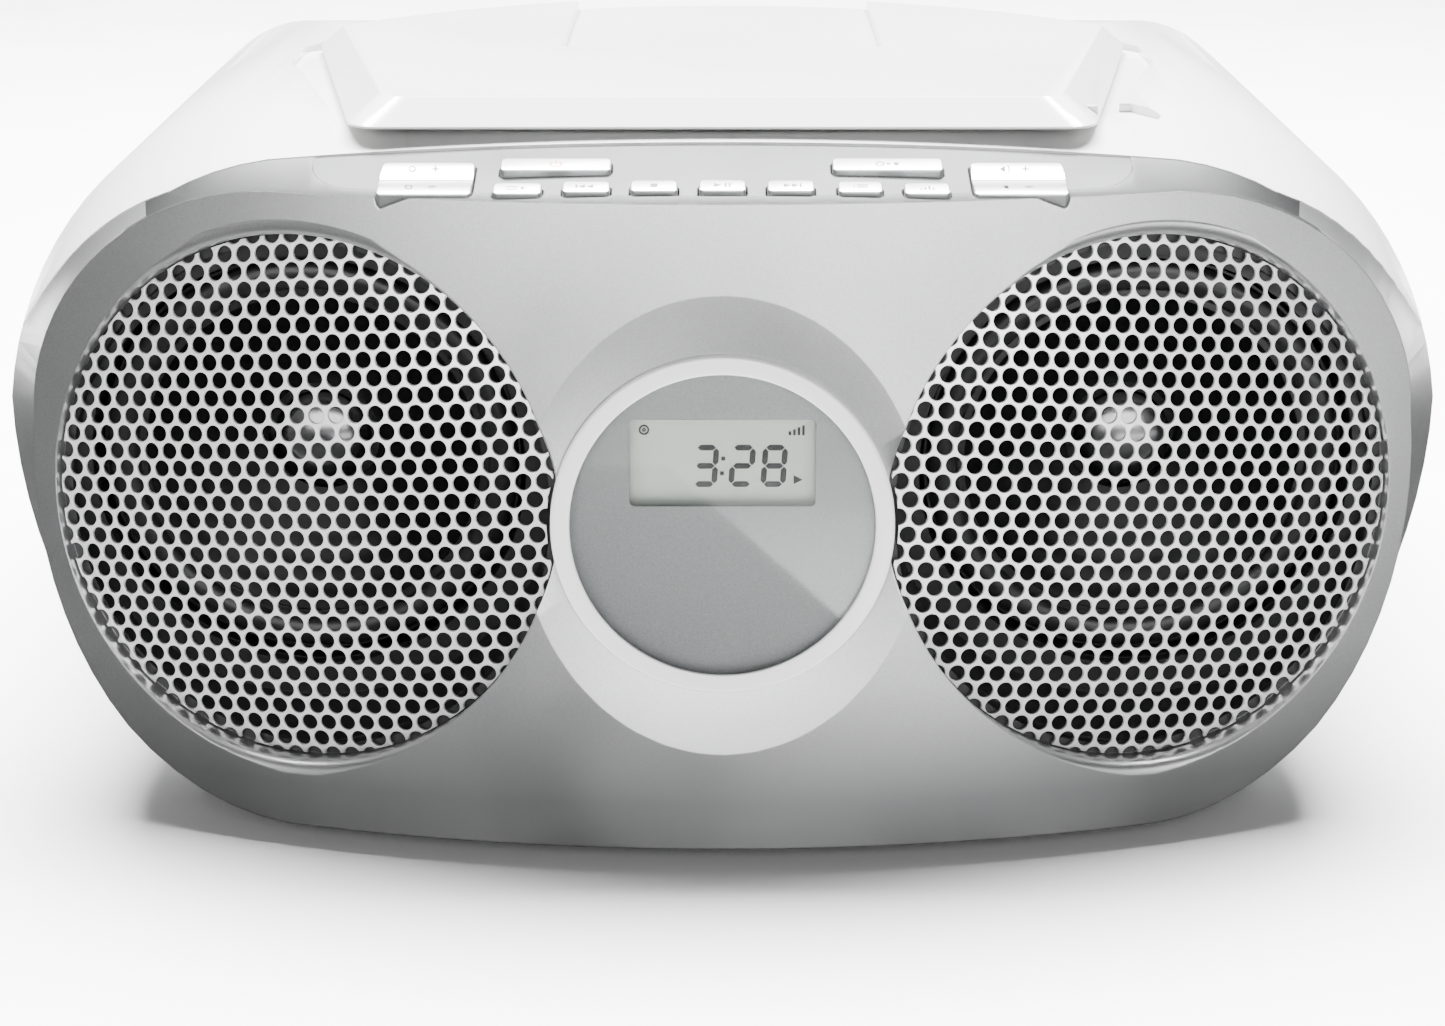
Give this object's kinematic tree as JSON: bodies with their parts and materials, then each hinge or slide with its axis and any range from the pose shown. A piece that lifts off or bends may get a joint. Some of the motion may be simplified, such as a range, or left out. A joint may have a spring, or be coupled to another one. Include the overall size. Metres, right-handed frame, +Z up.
{
  "type": "portable cd radio",
  "caption": "Portable CD radio with round speakers behind domed grilles, a round display, keys on a sloping strip, a top-loading disc lid and a fixed rear handle.",
  "frame": {"origin": "centre of the footprint on the surface it stands on", "axes": "+X to the right seen from the front, -Y out of the front, +Z up"},
  "size_m": [0.302, 0.235, 0.148],
  "materials": {
    "silver": "satin silver paint with fine metallic grain",
    "white": "gloss",
    "grille_steel": "perforated sheet, satin",
    "bright_steel": "satin",
    "chrome": "polished",
    "key_silver": "satin silver paint",
    "dark": "matt moulded",
    "cone_black": "gloss",
    "cap_silver": "metallic, polished",
    "ferrite": "ground",
    "rubber": "matt",
    "clear": "clear, polished",
    "plate_silver": "metallic sparkle",
    "lcd": "satin",
    "board": "solder mask",
    "transformer_iron": "varnished"
  },
  "bodies": {
    "casing": {"front_fascia": "silver", "top_cover": "white", "rear_cabinet": "white", "carry_handle": "white", "battery_tray": "white", "foot_1": "rubber", "foot_2": "rubber", "foot_3": "rubber", "foot_4": "rubber", "hinge_pin_left": "bright_steel", "hinge_pin_right": "bright_steel", "display_bezel": "white", "display_plate": "plate_silver", "display_lens": "clear", "lcd_glass": "lcd", "display_board": "board", "key_board": "board", "left_grille": "grille_steel", "left_basket": "dark", "left_magnet": "ferrite", "right_grille": "grille_steel", "right_basket": "dark", "right_magnet": "ferrite", "drive_chassis": "bright_steel", "guide_rod_left": "bright_steel", "guide_rod_right": "bright_steel", "spindle_motor": "bright_steel", "sled_motor": "bright_steel", "main_board": "board", "transformer": "transformer_iron", "mains_inlet": "dark", "audio_in_jack": "dark"},
    "lid": {"cd_door": "white"},
    "preset_rocker_body": {"preset_rocker": "key_silver"},
    "power_button_body": {"power_button": "key_silver"},
    "mode_button_body": {"mode_button": "key_silver"},
    "previous_button_body": {"previous_button": "key_silver"},
    "stop_button_body": {"stop_button": "key_silver"},
    "play_button_body": {"play_button": "key_silver"},
    "next_button_body": {"next_button": "key_silver"},
    "source_button_body": {"source_button": "key_silver"},
    "program_button_body": {"program_button": "key_silver"},
    "bass_button_body": {"bass_button": "key_silver"},
    "volume_rocker_body": {"volume_rocker": "key_silver"},
    "left_driver_cone": {"left_cone": "cone_black", "left_dust_cap": "cap_silver"},
    "right_driver_cone": {"right_cone": "cone_black", "right_dust_cap": "cap_silver"},
    "hub": {"spindle_hub": "dark"},
    "sled": {"laser_pickup": "dark"},
    "pinion": {"sled_gear": "white"},
    "battery_cover": {"battery_door": "white"},
    "antenna_knuckle": {"antenna_base": "chrome"},
    "antenna_rod_outer": {"antenna_outer": "chrome"},
    "antenna_rod_middle": {"antenna_middle": "chrome"},
    "antenna_rod_tip": {"antenna_tip": "chrome"}
  },
  "joints": [
    {"name": "lid_hinge", "type": "hinge", "parent": "casing", "child": "lid", "pos_m": [0, 0.068, 0.137], "axis": [-1, 0, 0], "range_deg": [0, 68]},
    {"name": "preset_rocker_tilt", "type": "hinge", "parent": "casing", "child": "preset_rocker_body", "pos_m": [-0.0582, -0.0844, 0.13244], "axis": [1, 0, 0], "range_deg": [-4, 4], "stiffness_Nm_per_rad": 0.25},
    {"name": "power_button_press", "type": "slide", "parent": "casing", "child": "power_button_body", "axis": [0, 0.2713, -0.9625], "range_m": [0, 0.001], "stiffness_N_per_m": 300},
    {"name": "mode_button_press", "type": "slide", "parent": "casing", "child": "mode_button_body", "axis": [0, 0.2713, -0.9625], "range_m": [0, 0.001], "stiffness_N_per_m": 300},
    {"name": "previous_button_press", "type": "slide", "parent": "casing", "child": "previous_button_body", "axis": [0, 0.2713, -0.9625], "range_m": [0, 0.001], "stiffness_N_per_m": 300},
    {"name": "stop_button_press", "type": "slide", "parent": "casing", "child": "stop_button_body", "axis": [0, 0.2713, -0.9625], "range_m": [0, 0.001], "stiffness_N_per_m": 300},
    {"name": "play_button_press", "type": "slide", "parent": "casing", "child": "play_button_body", "axis": [0, 0.2713, -0.9625], "range_m": [0, 0.001], "stiffness_N_per_m": 300},
    {"name": "next_button_press", "type": "slide", "parent": "casing", "child": "next_button_body", "axis": [0, 0.2713, -0.9625], "range_m": [0, 0.001], "stiffness_N_per_m": 300},
    {"name": "source_button_press", "type": "slide", "parent": "casing", "child": "source_button_body", "axis": [0, 0.2713, -0.9625], "range_m": [0, 0.001], "stiffness_N_per_m": 300},
    {"name": "program_button_press", "type": "slide", "parent": "casing", "child": "program_button_body", "axis": [0, 0.2713, -0.9625], "range_m": [0, 0.001], "stiffness_N_per_m": 300},
    {"name": "bass_button_press", "type": "slide", "parent": "casing", "child": "bass_button_body", "axis": [0, 0.2713, -0.9625], "range_m": [0, 0.001], "stiffness_N_per_m": 300},
    {"name": "volume_rocker_tilt", "type": "hinge", "parent": "casing", "child": "volume_rocker_body", "pos_m": [0.0582, -0.0844, 0.13244], "axis": [1, 0, 0], "range_deg": [-4, 4], "stiffness_Nm_per_rad": 0.25},
    {"name": "left_cone_travel", "type": "slide", "parent": "casing", "child": "left_driver_cone", "axis": [0, -1, 0], "range_m": [-0.0015, 0.0015], "stiffness_N_per_m": 1500},
    {"name": "right_cone_travel", "type": "slide", "parent": "casing", "child": "right_driver_cone", "axis": [0, -1, 0], "range_m": [-0.0015, 0.0015], "stiffness_N_per_m": 1500},
    {"name": "hub_spin", "type": "hinge", "parent": "casing", "child": "hub", "pos_m": [0, 0, 0.13], "axis": [0, 0, 1], "continuous": true},
    {"name": "sled_travel", "type": "slide", "parent": "casing", "child": "sled", "axis": [0, -1, 0], "range_m": [0, 0.034]},
    {"name": "pinion_spin", "type": "hinge", "parent": "casing", "child": "pinion", "pos_m": [0.0276, -0.028, 0.123], "axis": [0, 0, 1], "range_deg": [0, 350]},
    {"name": "battery_cover_hinge", "type": "hinge", "parent": "casing", "child": "battery_cover", "pos_m": [-0.01, 0.1164, 0.021], "axis": [-1, 0, 0], "range_deg": [0, 80]},
    {"name": "antenna_swing", "type": "hinge", "parent": "casing", "child": "antenna_knuckle", "pos_m": [0.104, 0.113, 0.093], "axis": [0, 1, 0], "range_deg": [0, 180]},
    {"name": "antenna_tilt", "type": "hinge", "parent": "antenna_knuckle", "child": "antenna_rod_outer", "pos_m": [0.104, 0.113, 0.093], "axis": [0, 0, -1], "range_deg": [0, 90]},
    {"name": "antenna_pull_1", "type": "slide", "parent": "antenna_rod_outer", "child": "antenna_rod_middle", "axis": [-1, 0, 0], "range_m": [0, 0.1]},
    {"name": "antenna_pull_2", "type": "slide", "parent": "antenna_rod_middle", "child": "antenna_rod_tip", "axis": [-1, 0, 0], "range_m": [0, 0.1]}
  ],
  "couplings": [
    {"joint": "pinion_spin", "follows": "sled_travel", "rad_per_m": 166.67}
  ]
}
